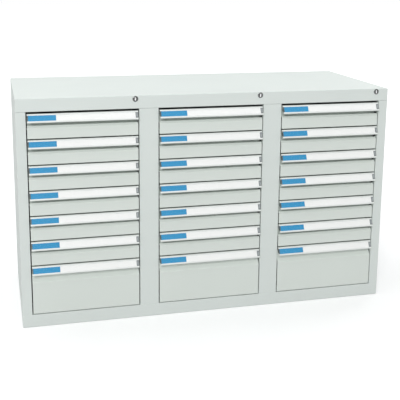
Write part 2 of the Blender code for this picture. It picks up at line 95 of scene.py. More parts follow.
# Drawer boxes
BOX_RISE = 0.006
BOX_TOP_DROP = 0.015
BOX_SIDE_GAP = 0.01
BOX_LENGTH = 0.545
BOX_LIP = 0.006
BOX_FOLD = 0.0016
SLOT_MARGIN = 0.008
SLOT_WIDTH = 0.003
SLOT_STEP = 0.025
SIDE_SLOTS = 19
SIDE_SLOTS_START = 0.05
BACK_SLOTS = 15

# Runners
RAIL_RISE = 0.022
RAIL_START = 0.05
RAIL_END = 0.56
RUNNER_START = 0.017
RUNNER_FOLD = 0.0005
RUNNER_PLAY = 0.001
RUNNER_RIVETS = 5
RUNNER_RIVET_DROP = 0.001
RUNNER_RIVET_ENDS = (0.05, 0.45)
RUNNER_RIVET_SIZE = (0.0028, 0.0009)
FRONT_ROLLER = 0.06
FRONT_ROLLER_WIDTH = 0.0085
FRONT_HUB_DEPTH = 0.0008
REAR_ROLLER = 0.52
REAR_ROLLER_INSET = 0.0015
REAR_ROLLER_WALL_GAP = 0.003
REAR_HUB_DEPTH = 0.001
ROLLER_RADIUS = 0.008
ROLLER_RIM = 0.0012
HUB_RADIUS = 0.0045
HUB_STEP = 0.0005
AXLE_RADIUS = 0.003
AXLE_LENGTH = 0.0212
AXLE_CHAMFER = 0.0004

# Lock catch on the drawer and guides of the locking bar
CATCH_START = 0.038
CATCH_RISE = 0.014
CATCH_SIZE = 0.008
CATCH_SINK = 0.0005
CATCH_SIDE_GAP = 0.002
CATCH_ROUND = 0.0012
BAR_SETBACK = 0.023
BAR_WIDTH = 0.012
BAR_SIDE_GAP = 0.004
BAR_SHEET = 0.003
GUIDE_HEIGHT_SHARES = (0.13, 0.94)
GUIDE_HEIGHT = 0.02
GUIDE_WALL = 0.002
GUIDE_ROUND = 0.0005

# Handles
HANDLE_TOP_REACH = 0.004
HANDLE_LIP = 0.003
HANDLE_WALL = 0.0025
HANDLE_FOOT = 0.008
HANDLE_ENDS = (0.0005, 0.0022)
HANDLE_TOP_ROUND = 0.0012
HANDLE_NOSE_ROUND = 0.002
HANDLE_TIP_ROUND = 0.0009
HANDLE_INNER_ROUND = 0.001
FILLET_STEPS = 4
HANDLE_PLUG = 0.004
PLUG_PROUD = 0.0003
PLUG_FRONT_ROUND = 0.0006
PLUG_BACK_ROUND = 0.0004

# What lies in the handle's channel
LABEL_FROM = 0.0052
LABEL_TO = 0.0268
LABEL_DEPTH = 0.0011
LABEL_UNDERCUT = 0.0004
LABEL_LIP_ROUND = 0.0003
LABEL_PLAY = 0.0001
LABEL_END_GAP = 0.0015
CARD = 0.0003
TAG_CARD = 0.0004
TAG_FROM_EDGE = 0.0045
TAG_LENGTH = 0.102
THIN_ROUND = 0.0001
COVER_RISE = 0.0005
COVER_SHEET = 0.0004
CATCH_WIDTH = 0.0098
CATCH_PROUD = 0.0009
CATCH_EDGE = 0.0006
PAD_FROM_CATCH_ENDS = (0.0024, 0.0022)
PAD_ALONG = (0.0085, 0.0235)
PAD_PROUD = 0.0013
PAD_EDGE = 0.0005

# Locks
FLANGE_RADIUS = 0.011
FLANGE_THICKNESS = 0.002
FLANGE_RIM = 0.0004
FLANGE_CHAMFER = 0.0002
DOME_WIDTH = 0.0035
DOME_ANGLES = (0, 20, 40, 60, 75, 90)
LOCK_BODY_RADIUS = 0.0085
LOCK_BODY_LENGTH = 0.022
LOCK_BORE = 0.0068
LOCK_BORE_CHAMFER = 0.0004
LOCK_NUT_RADIUS = 0.0102
LOCK_NUT = 0.004
BARREL_RADIUS = 0.0065
BARREL_CHAMFER = 0.0005
BARREL_RECESS = 0.0005
KEYWAY_WIDTH, KEYWAY_HEIGHT, KEYWAY_DEPTH = 0.0011, 0.0075, 0.004
KEY_RIM_HALF_WIDTH = 0.0025
KEY_RIM_HALF_HEIGHT = 0.0056
KEY_RIM_PROUD = 0.0006
KEY_RIM_SINK = 0.0004
KEY_RIM_ROUND = 0.0004
CAM_REACH = 0.01
CAM_END = 0.0025
CAM_HALF = 0.005
CAM_SHEET = 0.002
CAM_START = 0.0228
CAM_ROUND = 0.0006
CAM_PIN = 0.0105
CAM_PIN_RADIUS = 0.002
CAM_PIN_CHAMFER = 0.0004
CAM_PIN_GAP = 0.0005

# Studio and camera; angles are in degrees
FLOOR_HALF = 30
FLOOR_SHEET = 0.05
FLOOR_DROP = 0.0005
FLOOR_BOUNCE = (0.4, 0.4, 0.4, 1)
GLOW_FROM, GLOW_TO = 1.0, 4.5
GLOW_NEAR, GLOW_FAR = 0.12, 0.44
CAMERA_PLACE = (-0.818, -3.260, 1.364)
CAMERA_AZIMUTH, CAMERA_ELEVATION, CAMERA_ROLL = 14.55, -11.91, 0.57
CAMERA_LENS_MM, CAMERA_SENSOR_MM = 72.0, 36.0
CAMERA_SHIFT = -0.15

# Places read from the CAD boxes
cover_low, cover_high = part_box("top_cover")
pan_low, pan_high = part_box("base_pan")
FRONT_Y, BACK_Y = cover_low.y, cover_high.y
HALF_WIDTH = cover_high.x
OPENING_LOW, OPENING_HIGH = pan_high.z, cover_low.z
PANEL_LOW, PANEL_HIGH = OPENING_LOW + SEAT_GAP, OPENING_HIGH - SEAT_GAP
BACK_INNER_Y = BACK_Y - 2 * (SHEET + SEAT_GAP)


def handle_box(column, row):
    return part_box(f"handle_{column}_{row}")


def column_x(column):
    low, high = handle_box(column, 1)
    return (low.x + high.x) / 2


def lock_place(column):
    low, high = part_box(f"lock_housing_{column}")
    return (low.x + high.x) / 2, FRONT_Y, (low.z + high.z) / 2


def front_low(row):
    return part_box(f"drawer_1_{row}")[0].z


def front_height(row):
    return handle_box(1, row)[1].z - front_low(row)


handle_low, handle_high = handle_box(1, 1)
FRONT_HALF = (handle_high.x - handle_low.x) / 2
HANDLE_HEIGHT = handle_high.z - handle_low.z
HANDLE_REACH = FRONT_Y - handle_low.y
OPENING_HALF = FRONT_HALF + FRONT_SIDE_GAP
BOX_HALF = OPENING_HALF - BOX_SIDE_GAP
ROW_STEP = front_low(1) - front_low(2)
OUTER_EDGE = column_x(3) + OPENING_HALF
POST_HALF = (column_x(2) - column_x(1)) / 2 - OPENING_HALF
RAIL_CENTRE = front_low(1) + BOX_RISE + RAIL_RISE


# Finishes


def srgb(red, green, blue):
    """A screen colour of 0 to 255 as the linear colour that a shader takes."""
    parts = [value / 255 for value in (red, green, blue)]
    linear = [p / 12.92 if p <= 0.04045 else ((p + 0.055) / 1.055) ** 2.4 for p in parts]
    return (*linear, 1.0)


def new_finish(name, **constants):
    """A material whose shader holds the constants, and its node tree."""
    material = bpy.data.materials.new(name)
    material.use_nodes = True
    shader = material.node_tree.nodes["Principled BSDF"]
    for socket, value in constants.items():
        shader.inputs[socket.replace("_", " ")].default_value = value
    return material, material.node_tree, shader


def add_node(tree, kind, inputs=None, **settings):
    """A node with its settings; an input is a plain value, a socket, or a node for its first output."""
    node = tree.nodes.new(kind)
    for setting, value in settings.items():
        setattr(node, setting, value)
    for key, value in (inputs or {}).items():
        if isinstance(value, bpy.types.Node):
            value = value.outputs[0]
        if isinstance(value, bpy.types.NodeSocket):
            tree.links.new(value, node.inputs[key])
        else:
            node.inputs[key].default_value = value
    return node


def grain(tree, scale, detail, stretch=(1, 1, 1)):
    """Noise over the piece's own coordinates; scale is in cells a metre."""
    place = add_node(tree, "ShaderNodeTexCoord").outputs["Object"]
    if stretch != (1, 1, 1):
        place = add_node(tree, "ShaderNodeMapping", {"Vector": place, "Scale": stretch})
    wanted = {"Vector": place, "Scale": scale, "Detail": detail}
    return add_node(tree, "ShaderNodeTexNoise", wanted).outputs["Fac"]


def spread(tree, value, low, high, out_low, out_high):
    """The value's range low to high, laid over out_low to out_high."""
    wanted = {"Value": value, "From Min": low, "From Max": high, "To Min": out_low, "To Max": out_high}
    return add_node(tree, "ShaderNodeMapRange", wanted).outputs["Result"]


def tones(tree, value, *stops):
    """A colour ramp through (place, colour) stops."""
    ramp = add_node(tree, "ShaderNodeValToRGB", {"Fac": value})
    elements = ramp.color_ramp.elements
    while len(elements) < len(stops):
        elements.new(0.5)
    for element, (place, colour) in zip(elements, stops):
        element.position = place
        element.color = colour
    return ramp.outputs["Color"]


def mixed(tree, value, first, second):
    """From the first colour to the second as the value goes from 0 to 1."""
    return add_node(tree, "ShaderNodeMix", {0: value, 6: first, 7: second}, data_type="RGBA").outputs[2]


def dress(tree, shader, tone, rough, *layers):
    """Links a finish's colour and roughness, and bump from (height, depth in metres) layers."""
    tree.links.new(tone, shader.inputs["Base Color"])
    tree.links.new(rough, shader.inputs["Roughness"])
    bump = None
    for height, depth in layers:
        wanted = {"Height": height, "Distance": depth, "Strength": 1.0}
        if bump is not None:
            wanted["Normal"] = bump
        bump = add_node(tree, "ShaderNodeBump", wanted)
    tree.links.new(bump.outputs["Normal"], shader.inputs["Normal"])


def rubbed(tree, tone, bare):
    """The tone, with the bare colour where hands and cloths rub folds and edges, broken up by noise."""
    edge = add_node(tree, "ShaderNodeAttribute", attribute_name="edge").outputs["Fac"]
    patches = spread(tree, grain(tree, 60, 3), 0.42, 0.62, 0, 1)
    rubbing = add_node(tree, "ShaderNodeMath", {0: edge, 1: patches}, operation="MULTIPLY")
    return mixed(tree, rubbing, tone, bare)


def shade(colour, share):
    """The colour, darker for a share below 1 and lighter above it."""
    return (*(value * share for value in colour[:3]), 1.0)


def powder_coat(name, colour):
    """Satin powder paint: slow tone drift, flecks, orange peel and slightly rubbed edges."""
    material, tree, shader = new_finish(name, IOR=1.5)
    drift = tones(
        tree,
        grain(tree, 2.6, 3),
        (0.3, shade(colour, 0.985)),
        (0.5, colour),
        (0.7, shade(colour, 1.012)),
    )
    flecks = spread(tree, grain(tree, 1300, 1), 0.35, 0.65, 0, 0.03)
    speckled = mixed(tree, flecks, drift, shade(colour, 0.72))
    worn = rubbed(tree, speckled, shade(colour, 1.06))
    smears = spread(tree, grain(tree, 9, 4, (1, 1, 2.5)), 0.3, 0.7, 0.57, 0.62)
    dress(tree, shader, worn, smears, (grain(tree, 420, 2), 0.00004), (grain(tree, 1500, 1), 0.00001))
    return material


def moulded_plastic(name, colour, rough=(0.28, 0.38)):
    """Injection-moulded plastic: faint flow lines along X and a fine spark texture."""
    material, tree, shader = new_finish(name, IOR=1.49)
    flow = grain(tree, 40, 2, (0.05, 1, 1))
    tone = tones(tree, flow, (0.35, shade(colour, 0.975)), (0.65, colour))
    worn = rubbed(tree, tone, shade(colour, 1.03))
    matt = spread(tree, grain(tree, 25, 3), 0.3, 0.7, *rough)
    dress(tree, shader, worn, matt, (grain(tree, 1800, 1), 0.000015))
    return material


def label_paper(name, colour):
    """Card behind the label cover, with paper fibres."""
    material, tree, shader = new_finish(name, IOR=1.4)
    fibres = grain(tree, 900, 4, (0.3, 1, 1))
    tone = tones(tree, fibres, (0.3, shade(colour, 0.965)), (0.7, colour))
    dress(tree, shader, tone, spread(tree, fibres, 0.3, 0.7, 0.6, 0.75), (fibres, 0.00002))
    return material


def clear_sheet(name):
    """Thin clear cover over the label, with light handling haze."""
    material, tree, shader = new_finish(name, IOR=1.49, Alpha=0.02)
    haze = grain(tree, 30, 3)
    tone = tones(tree, haze, (0.3, srgb(236, 240, 240)), (0.7, srgb(250, 252, 252)))
    dress(tree, shader, tone, spread(tree, haze, 0.3, 0.7, 0.05, 0.16), (grain(tree, 12, 1), 0.00004))
    return material


def zinc_plate(name, colour, along=(1, 0.04, 1)):
    """Zinc-plated sheet: rolling streaks, blue-yellow passivation and dull patches."""
    material, tree, shader = new_finish(name, Metallic=1.0)
    streaks = grain(tree, 220, 3, along)
    tint = tones(
        tree,
        grain(tree, 11, 3),
        (0.3, shade(colour, 0.9)),
        (0.5, colour),
        (0.68, (colour[0] * 1.03, colour[1] * 1.02, colour[2] * 0.98, 1.0)),
    )
    streaked = mixed(tree, spread(tree, streaks, 0.35, 0.65, 0, 0.22), tint, shade(colour, 0.7))
    worn = rubbed(tree, streaked, shade(colour, 1.25))
    dress(tree, shader, worn, spread(tree, streaks, 0.3, 0.7, 0.3, 0.46), (streaks, 0.00003))
    return material


def plated_lock(name, colour, rough=(0.12, 0.24)):
    """Plating with fine scratches along the key slot and rubbed edges."""
    material, tree, shader = new_finish(name, Metallic=1.0)
    scratches = grain(tree, 1600, 2, (1, 1, 0.15))
    tone = tones(tree, scratches, (0.35, shade(colour, 0.8)), (0.65, colour))
    worn = rubbed(tree, tone, shade(colour, 1.3))
    dress(tree, shader, worn, spread(tree, scratches, 0.3, 0.7, *rough), (scratches, 0.000012))
    return material


CARCASS_PAINT = powder_coat("carcass_powder_coat", srgb(222, 229, 225))
DRAWER_PAINT = powder_coat("drawer_powder_coat", srgb(223, 230, 224))
HANDLE_WHITE = moulded_plastic("handle_white", srgb(233, 237, 234))
PLUG_GREY = moulded_plastic("end_plug_grey", srgb(84, 98, 102))
CATCH_GREY = moulded_plastic("catch_grey", srgb(122, 128, 128))
CATCH_PAD_GREY = moulded_plastic("catch_pad_grey", srgb(164, 170, 172))
PAPER_WHITE = label_paper("label_paper", srgb(249, 250, 248))
TAG_BLUE = label_paper("tag_blue", srgb(30, 147, 199))
COVER_CLEAR = clear_sheet("label_cover_clear")
RUNNER_ZINC = zinc_plate("runner_zinc_plate", (0.6, 0.61, 0.62, 1))
BAR_ZINC = zinc_plate("bar_zinc_plate", (0.52, 0.53, 0.54, 1), (1, 1, 0.04))
RIVET_STEEL = zinc_plate("rivet_steel", (0.66, 0.66, 0.66, 1), (1, 1, 1))
ROLLER_NYLON = moulded_plastic("roller_nylon", srgb(226, 224, 214), (0.35, 0.5))
# The ring's dark base colour is a painted reflection: it stands in for the dark surroundings that a bright
# chrome ring would mirror.
LOCK_RING_PAINTED_DARK = plated_lock("lock_ring_painted_dark_reflections", (0.12, 0.125, 0.125, 1), (0.08, 0.15))
LOCK_FACE = plated_lock("lock_barrel_plating", (0.012, 0.013, 0.012, 1), (0.22, 0.34))
LOCK_SLOT = plated_lock("key_slot_plating", (0.9, 0.91, 0.9, 1))


# Shaping


def on_bench(mesh):
    """A working object that holds the mesh."""
    shape = bpy.data.objects.new("blank", mesh)
    bpy.context.scene.collection.objects.link(shape)
    return shape


def shape_from(build):
    """A working object whose mesh build(bm) fills."""
    mesh = bpy.data.meshes.new("blank")
    bm = bmesh.new()
    build(bm)
    bm.to_mesh(mesh)
    bm.free()
    return on_bench(mesh)


def settled(shape):
    """Applies the working object's modifiers."""
    bpy.context.view_layer.update()
    made = bpy.data.meshes.new_from_object(shape.evaluated_get(bpy.context.evaluated_depsgraph_get()))
    blank = shape.data
    shape.modifiers.clear()
    shape.data = made
    bpy.data.meshes.remove(blank)
    return shape


def mesh_of(shape, *finishes):
    """The working object's mesh with its finishes; the object is gone."""
    mesh = shape.data
    bpy.data.objects.remove(shape)
    if finishes:
        mesh.materials.clear()
        for finish in finishes:
            mesh.materials.append(finish)
    return mesh


def round_edges(shape, radius, segments, angle=30):
    bevel = shape.modifiers.new("rounded", "BEVEL")
    bevel.width = radius
    bevel.segments = segments
    bevel.limit_method = "ANGLE"
    bevel.angle_limit = math.radians(angle)
    return settled(shape)


def thickened(shape):
    """Gives a surface the thickness of the sheet, on its inner side."""
    sheet = shape.modifiers.new("sheet", "SOLIDIFY")
    sheet.thickness = SHEET
    sheet.offset = -1
    sheet.use_even_offset = True
    return settled(shape)


def box_matrix(low, high):
    low, high = Vector(low), Vector(high)
    return Matrix.Translation((low + high) / 2) @ Matrix.Diagonal((*(high - low), 1))


def plain_box(low, high):
    return shape_from(lambda bm: bmesh.ops.create_cube(bm, size=1, matrix=box_matrix(low, high)))


def block(first, second, radius, finish):
    """A block between two opposite corners, with rounded edges."""
    low = [min(pair) for pair in zip(first, second)]
    high = [max(pair) for pair in zip(first, second)]
    return mesh_of(round_edges(plain_box(low, high), radius, 2), finish)


def turned(profile, start, axis, finish, sides=32, hollow=False):
    """A turned piece from (distance along the axis, radius) pairs, closed at both ends or round a bore."""
    turn = Vector(axis).to_track_quat("Z", "Y").to_matrix().to_4x4()

    def build(bm):
        rings = []
        for along, radius in profile:
            steps = [2 * math.pi * k / sides for k in range(sides if radius else 1)]
            rings.append([bm.verts.new((radius * math.cos(a), radius * math.sin(a), along)) for a in steps])
        followings = rings[1:] + rings[:1] if hollow else rings[1:]
        for ring, following in zip(rings, followings):
            for k in range(sides):
                k2 = (k + 1) % sides
                if len(ring) == 1:
                    bm.faces.new((ring[0], following[k2], following[k]))
                elif len(following) == 1:
                    bm.faces.new((ring[k], ring[k2], following[0]))
                else:
                    bm.faces.new((ring[k], ring[k2], following[k2], following[k]))
        bmesh.ops.recalc_face_normals(bm, faces=bm.faces)
        bmesh.ops.transform(bm, matrix=Matrix.Translation(start) @ turn, verts=bm.verts)

    return mesh_of(shape_from(build), finish)


def pin_profile(start, end, radius, chamfer):
    """A pin for turned(), chamfered at its far end."""
    return (start, 0), (start, radius), (end - chamfer, radius), (end, radius - chamfer), (end, 0)


def pan(low, high, open_normal, lip=0.0, radius=FOLD):
    """A folded tray without the side that open_normal names, or with a lip round it."""
    open_normal = Vector(open_normal)

    def build(bm):
        bmesh.ops.create_cube(bm, size=1, matrix=box_matrix(low, high))
        bm.normal_update()
        removed = max(bm.faces, key=lambda face: face.normal.dot(open_normal))
        if lip:
            bmesh.ops.inset_individual(bm, faces=[removed], thickness=lip, use_even_offset=True)
        bmesh.ops.delete(bm, geom=[removed], context="FACES")

    return thickened(round_edges(shape_from(build), radius, 4))


def folded(path, sweep, outside, radius):
    """A sheet folded along a path of points and run along sweep; outside names its first face's side."""
    sweep, outside = Vector(sweep), Vector(outside)

    def build(bm):
        corners = [bm.verts.new(point) for point in path]
        edges = [bm.edges.new(pair) for pair in zip(corners, corners[1:])]
        raised = bmesh.ops.extrude_edge_only(bm, edges=edges)["geom"]
        bmesh.ops.translate(bm, vec=sweep, verts=[v for v in raised if isinstance(v, bmesh.types.BMVert)])
        bmesh.ops.recalc_face_normals(bm, faces=bm.faces)
        bm.normal_update()
        first = next(iter(edges[0].link_faces))
        if first.normal.dot(outside) < 0:
            bmesh.ops.reverse_faces(bm, faces=bm.faces)

    return thickened(round_edges(shape_from(build), radius, 4))


def filleted(corners):
    """Rounds each (y, z, radius) corner of a closed outline."""
    outline = []
    for k, (y, z, radius) in enumerate(corners):
        here = Vector((y, z))
        if not radius:
            outline.append(here)
            continue
        before = (Vector(corners[k - 1][:2]) - here).normalized()
        after = (Vector(corners[(k + 1) % len(corners)][:2]) - here).normalized()
        half = before.angle(after) / 2
        centre = here + (before + after).normalized() * radius / math.sin(half)
        start = here + before * radius / math.tan(half) - centre
        end = here + after * radius / math.tan(half) - centre
        for step in range(FILLET_STEPS + 1):
            outline.append(centre + start.lerp(end, step / FILLET_STEPS).normalized() * radius)
    return outline


def extruded(outline, low_x, high_x, radius=0.0):
    """A closed (y, z) outline run along X, with its ends closed."""

    def build(bm):
        bottom = bm.faces.new([bm.verts.new((low_x, y, z)) for y, z in outline])
        raised = bmesh.ops.extrude_face_region(bm, geom=[bottom])["geom"]
        moved = [item for item in raised if isinstance(item, bmesh.types.BMVert)]
        bmesh.ops.translate(bm, vec=(high_x - low_x, 0, 0), verts=moved)
        bmesh.ops.recalc_face_normals(bm, faces=bm.faces)

    shape = shape_from(build)
    return round_edges(shape, radius, 2, 50) if radius else shape


def joined(*meshes):
    """One mesh of several, each keeping its finish."""
    bm = bmesh.new()
    finishes = []
    for mesh in meshes:
        start = len(bm.faces)
        bm.from_mesh(mesh)
        bm.faces.ensure_lookup_table()
        for finish in mesh.materials:
            if finish not in finishes:
                finishes.append(finish)
        for face in bm.faces[start:]:
            face.material_index = finishes.index(mesh.materials[face.material_index])
        bpy.data.meshes.remove(mesh)
    made = bpy.data.meshes.new("joined")
    bm.to_mesh(made)
    bm.free()
    for finish in finishes:
        made.materials.append(finish)
    return made


def shaded(mesh):
    """Smooth over the folds and flat on the faces between them; the narrow faces count as edges."""
    mesh.shade_smooth()
    edge = mesh.attributes.new("edge", "FLOAT", "FACE")
    for face, mark in zip(mesh.polygons, edge.data):
        corners = [mesh.vertices[index].co for index in face.vertices]
        around = sum((corner - corners[k - 1]).length for k, corner in enumerate(corners))
        mark.value = 1.0 if 2 * face.area < EDGE_WIDTH * around else 0.0
    mesh.set_sharp_from_angle(angle=SHARP_ANGLE)
    shape = on_bench(mesh)
    weighted = shape.modifiers.new("weighted", "WEIGHTED_NORMAL")
    weighted.keep_sharp = True
    return mesh_of(settled(shape))


def set_piece(name, mesh, body, at=None, replaces=()):
    """Puts a finished mesh in the scene as a piece that rides on a body."""
    if at is not None:
        mesh = mesh.copy()
        mesh.transform(Matrix.Translation(at))
    mesh.name = name
    piece = bpy.data.objects.new(name, mesh)
    bpy.context.scene.collection.objects.link(piece)
    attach(piece, body)
    if replaces:
        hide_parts(*replaces)


# Geometry nodes for what repeats


def new_tree(name, **inputs):
    """A geometry node group with the named inputs, Geometry and Finish, and a Geometry output."""
    tree = bpy.data.node_groups.new(name, "GeometryNodeTree")
    for label, kind in {"Geometry": "Geometry", **inputs, "Finish": "Material"}.items():
        label = label.replace("_", " ")
        tree.interface.new_socket(label, in_out="INPUT", socket_type=f"NodeSocket{kind}")
    tree.interface.new_socket("Geometry", in_out="OUTPUT", socket_type="NodeSocketGeometry")
    return tree, tree.nodes.new("NodeGroupInput").outputs


def end_tree(tree, geometry, finish):
    """Closes a tree with Realize Instances and Set Material."""
    real = add_node(tree, "GeometryNodeRealizeInstances", {"Geometry": geometry})
    painted = add_node(tree, "GeometryNodeSetMaterial", {"Geometry": real, "Material": finish})
    add_node(tree, "NodeGroupOutput", {"Geometry": painted})
    return tree


def make_step_tree():
    """Repeats the geometry down the rows, leaving out one step."""
    tree, given = new_tree("steps_down_the_rows", Steps="Int", Step="Float", Skipped="Int")
    drop = add_node(tree, "ShaderNodeMath", {0: given["Step"], 1: -1.0}, operation="MULTIPLY")
    offset = add_node(tree, "ShaderNodeCombineXYZ", {"Z": drop})
    line = add_node(tree, "GeometryNodeMeshLine", {"Count": given["Steps"], "Offset": offset})
    pair = {2: add_node(tree, "GeometryNodeInputIndex"), 3: given["Skipped"]}
    skip = add_node(tree, "FunctionNodeCompare", pair, data_type="INT", operation="EQUAL")
    kept = add_node(tree, "GeometryNodeDeleteGeometry", {"Geometry": line, "Selection": skip})
    wanted = {"Points": kept, "Instance": given["Geometry"]}
    placed = add_node(tree, "GeometryNodeInstanceOnPoints", wanted)
    return end_tree(tree, placed, given["Finish"])


def make_head_tree():
    """Rivet heads in a row, each a low dome turned to face the given way."""
    sizes = {"Count": "Int", "Radius": "Float", "Height": "Float"}
    tree, given = new_tree("row_of_rivet_heads", From="Vector", To="Vector", Facing="Vector", **sizes)
    wanted = {"Count": given["Count"], "Start Location": given["From"], "Offset": given["To"]}
    line = add_node(tree, "GeometryNodeMeshLine", wanted, mode="END_POINTS")
    dome = add_node(tree, "GeometryNodeMeshUVSphere", {"Segments": 16, "Rings": 8, "Radius": 1.0})
    wanted = {"X": given["Radius"], "Y": given["Radius"], "Z": given["Height"]}
    flat = add_node(tree, "ShaderNodeCombineXYZ", wanted)
    low = add_node(tree, "GeometryNodeTransform", {"Geometry": dome, "Scale": flat})
    smooth = add_node(tree, "GeometryNodeSetShadeSmooth", {"Geometry": low})
    aim = add_node(tree, "FunctionNodeAlignRotationToVector", {"Vector": given["Facing"]}, axis="Z")
    wanted = {"Points": line, "Instance": smooth, "Rotation": aim}
    placed = add_node(tree, "GeometryNodeInstanceOnPoints", wanted)
    return end_tree(tree, placed, given["Finish"])


def make_slot_tree():
    """Cuts a row of slots through the geometry."""
    tree, given = new_tree("row_of_slots", Slots="Int", First="Vector", Step="Vector", Slot_Size="Vector")
    wanted = {"Count": given["Slots"], "Start Location": given["First"], "Offset": given["Step"]}
    line = add_node(tree, "GeometryNodeMeshLine", wanted)
    cutter = add_node(tree, "GeometryNodeMeshCube", {"Size": given["Slot Size"]})
    placed = add_node(tree, "GeometryNodeInstanceOnPoints", {"Points": line, "Instance": cutter})
    real = add_node(tree, "GeometryNodeRealizeInstances", {"Geometry": placed})
    cut = add_node(tree, "GeometryNodeMeshBoolean", {"Mesh 1": given["Geometry"], "Mesh 2": real})
    return end_tree(tree, cut, given["Finish"])


def run_tree(shape, tree, **values):
    """Runs a tree on a working object, its inputs given by name."""
    modifier = shape.modifiers.new(tree.name, "NODES")
    modifier.node_group = tree
    by_label = {s.name: s.identifier for s in tree.interface.items_tree if s.in_out == "INPUT"}
    for label, value in values.items():
        modifier[by_label[label.replace("_", " ")]] = value
    return settled(shape)


STEP_TREE = make_step_tree()
HEAD_TREE = make_head_tree()
SLOT_TREE = make_slot_tree()


def down_the_rows(mesh):
    """Repeats a mesh at every row's height, from row 1 down."""
    finish = mesh.materials[0]
    wanted = {"Steps": SKIPPED_STEP + 2, "Step": ROW_STEP, "Skipped": SKIPPED_STEP, "Finish": finish}
    return mesh_of(run_tree(on_bench(mesh), STEP_TREE, **wanted))


def rivet_row(start, end, count, facing, size):
    """Rivet heads from start to end, each of the size (radius, height)."""
    wanted = {"From": start, "To": end, "Count": count, "Radius": size[0], "Height": size[1]}
    shape = shape_from(lambda bm: None)
    return mesh_of(run_tree(shape, HEAD_TREE, Facing=facing, Finish=RIVET_STEEL, **wanted))


def slotted(shape, finish, count, first, step, size):
    return run_tree(shape, SLOT_TREE, Slots=count, First=first, Step=step, Slot_Size=size, Finish=finish)


# Carcass


def set_panel(node, ending, shape):
    """Sets a painted sheet of the carcass in place of its node."""
    mesh = shaded(mesh_of(shape, CARCASS_PAINT))
    set_piece(f"{node}_{ending}", mesh, "cabinet", replaces=[node])


def make_top_cover():
    """Folded top with its skirt all round; the lock holes go through the front."""
    shape = pan(cover_low, cover_high, (0, 0, -1), LIP)
    hole_radius = LOCK_BODY_RADIUS + SEAT_GAP
    near, far = -CUT_OVERRUN, CUT_OVERRUN / 2
    profile = ((near, 0), (near, hole_radius), (far, hole_radius), (far, 0))
    for column in COLUMNS:
        cutter = on_bench(turned(profile, lock_place(column), (0, 1, 0), CARCASS_PAINT, FINE_SIDES))
        bored = shape.modifiers.new("lock_hole", "BOOLEAN")
        bored.operation = "DIFFERENCE"
        bored.object = cutter
        settled(shape)
        bpy.data.objects.remove(cutter)
    set_panel("top_cover", "panel", shape)


def make_base_pan():
    set_panel("base_pan", "panel", pan(pan_low, pan_high, (0, 0, -1), LIP))


def upright(plan, outside, radius):
    """A sheet folded along a plan of (x, y) points, from the base pan up to the top cover."""
    path = [(x, y, PANEL_LOW) for x, y in plan]
    return folded(path, (0, 0, PANEL_HIGH - PANEL_LOW), outside, radius)


def make_side(side, name):
    outer, inner = side * HALF_WIDTH, side * OUTER_EDGE
    plan = (
        (side * (HALF_WIDTH - REAR_FLANGE), BACK_Y),
        (outer, BACK_Y),
        (outer, FRONT_Y),
        (inner, FRONT_Y),
        (inner, FRONT_Y + POST_RETURN),
    )
    set_panel(name, "panel", upright(plan, (0, 1, 0), FOLD))


def make_back():
    """Back sheet with a pressed-in field behind each column, riveted to the flanges and partitions."""
    low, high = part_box("back_panel")
    across, upward = [low.x], (low.z, low.z + BACK_FIELD_EDGE, high.z - BACK_FIELD_EDGE, high.z)
    for column in COLUMNS:
        across += [column_x(column) - BACK_FIELD_HALF, column_x(column) + BACK_FIELD_HALF]
    across.append(high.x)

    def build(bm):
        grid = [[bm.verts.new((x, high.y, z)) for z in upward] for x in across]
        fields = []
        for i, (left, right) in enumerate(zip(grid, grid[1:])):
            for k in range(len(upward) - 1):
                face = bm.faces.new((left[k], left[k + 1], right[k + 1], right[k]))
                if i % 2 == 1 and k == 1:
                    fields.append(face)
        bm.normal_update()
        bmesh.ops.inset_individual(bm, faces=fields, thickness=BACK_FIELD_SLOPE, depth=-BACK_FIELD_DEPTH)

    sheet = thickened(round_edges(shape_from(build), BACK_FIELD_ROUND, 3, 12))
    set_panel("back_panel", "sheet", sheet)
    edge = HALF_WIDTH - REAR_FLANGE / 2
    wall = POST_HALF - POCKET - BACK_RIVET_FROM_WALL
    lines = [(side * edge, BACK_Y) for side in (-1, 1)]
    for number in (1, 2):
        middle = (column_x(number) + column_x(number + 1)) / 2
        lines += [(middle + side * wall, high.y) for side in (-1, 1)]
    rows = []
    for x, y in lines:
        start, end = (x, y, PANEL_LOW + BACK_RIVET_INSET), (x, y, PANEL_HIGH - BACK_RIVET_INSET)
        rows.append(rivet_row(start, end, BACK_RIVETS, (0, 1, 0), BACK_RIVET_SIZE))
    set_piece("back_panel_rivets", joined(*rows), "cabinet")


def rail_mesh(edge_x, towards):
    """One C rail at row 1 in the pocket behind the post; towards points into the opening."""
    wall = edge_x - towards * POCKET
    mouth = edge_x - towards * RUNNER_PLAY
    low = RAIL_CENTRE - ROLLER_RADIUS - SEAT_GAP - SHEET
    high = RAIL_CENTRE + ROLLER_RADIUS + RUNNER_PLAY + SHEET
    start = FRONT_Y + RAIL_START
    path = [(mouth, start, low), (wall, start, low), (wall, start, high), (mouth, start, high)]
    shape = folded(path, (0, RAIL_END - RAIL_START, 0), (0, 0, -1), FOLD)
    return mesh_of(shape, RUNNER_ZINC)


def roller_profile(width, hub_depth, rounded):
    """A roller on its side, with a rounded or a plain chamfer at both rims and a sunk hub."""
    rim = [(0, ROLLER_RADIUS - ROLLER_RIM), (ROLLER_RIM, ROLLER_RADIUS)]
    if rounded:
        rim.insert(1, (ROLLER_RIM / 2, ROLLER_RADIUS - ROLLER_RIM / 4))
    far_rim = [(width - along, radius) for along, radius in reversed(rim)]
    hub = [(width, HUB_RADIUS), (width - hub_depth, HUB_RADIUS - HUB_STEP), (width - hub_depth, 0)]
    return [(0, 0), *rim, *far_rim, *hub]


